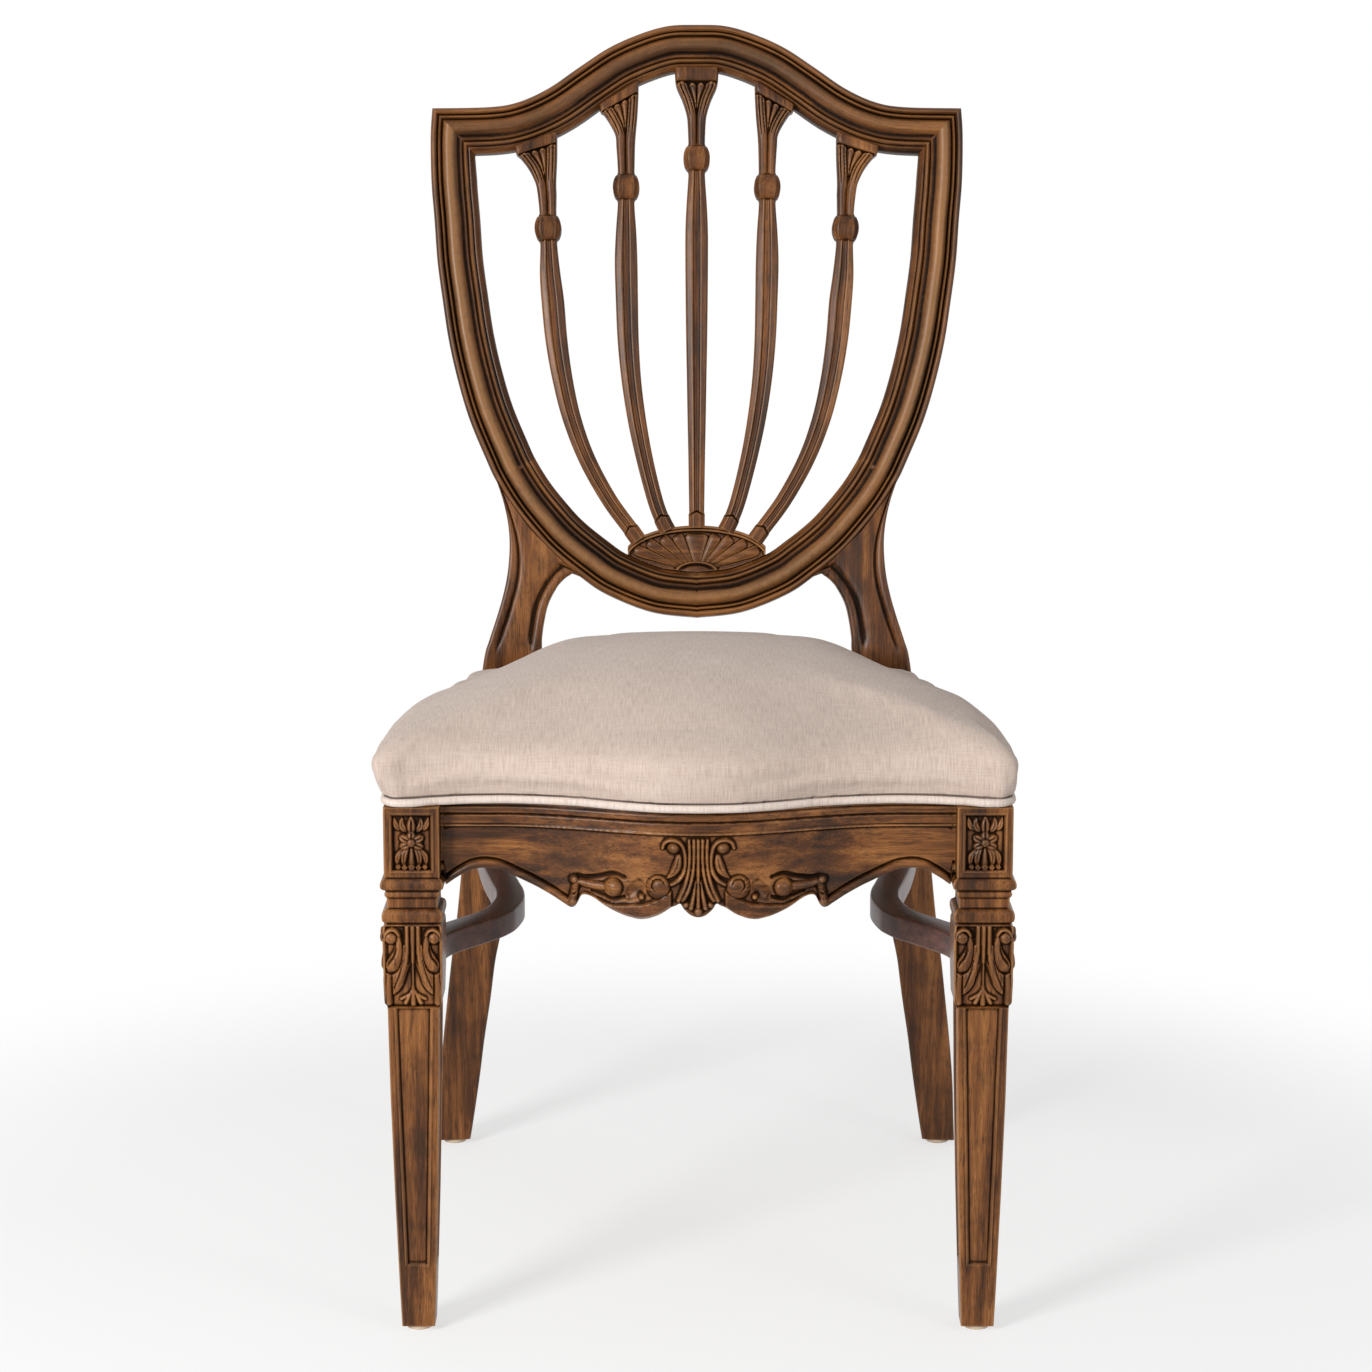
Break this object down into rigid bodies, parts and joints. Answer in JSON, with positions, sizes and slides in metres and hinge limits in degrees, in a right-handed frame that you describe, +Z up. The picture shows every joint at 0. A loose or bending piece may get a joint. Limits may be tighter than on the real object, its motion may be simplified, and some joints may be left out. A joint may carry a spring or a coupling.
{
  "type": "dining chair",
  "caption": "Carved wooden dining chair with a shield-shaped splat back, tapered square front legs, splayed rear legs, bowed side braces and an upholstered seat.",
  "frame": {"origin": "on the floor, under the middle of the chair's overall box", "axes": "+Z up, -Y the way the sitter faces, +X towards the right of someone looking at the chair's front"},
  "size_m": [0.487, 0.5648, 0.9704],
  "materials": {
    "walnut": "satin antique brown with dark glaze in the carving and rubbed edges",
    "dark_walnut": "satin reddish brown",
    "plain_wood": "bare hardwood",
    "screw_steel": "zinc plated",
    "foam": "upholstery foam",
    "linen": "matte woven linen",
    "piping": "matte corded piping",
    "glide_plastic": "matte nylon"
  },
  "bodies": {
    "root": {"crest_rail": "walnut", "shield_stile_left": "walnut", "shield_stile_right": "walnut", "shield_base_rail": "walnut", "splat_centre": "walnut", "splat_inner_left": "walnut", "splat_inner_right": "walnut", "splat_outer_left": "walnut", "splat_outer_right": "walnut", "fan_block": "walnut", "rear_leg_left": "walnut", "rear_leg_right": "walnut", "front_leg_left": "walnut", "front_leg_right": "walnut", "front_rail": "walnut", "side_rail_left": "walnut", "side_rail_right": "walnut", "back_rail": "walnut", "brace_left": "dark_walnut", "brace_right": "dark_walnut", "corner_block_front_left": "plain_wood", "corner_block_front_right": "plain_wood", "corner_block_rear_left": "plain_wood", "corner_block_rear_right": "plain_wood", "shield_dowels": "plain_wood", "rail_dowels": "plain_wood", "brace_dowels": "plain_wood", "block_screws": "screw_steel", "seat_screws": "screw_steel", "seat_board": "plain_wood", "seat_foam": "foam", "seat_cover": "linen", "seat_piping": "piping", "foot_glides": "glide_plastic"}
  },
  "joints": []
}
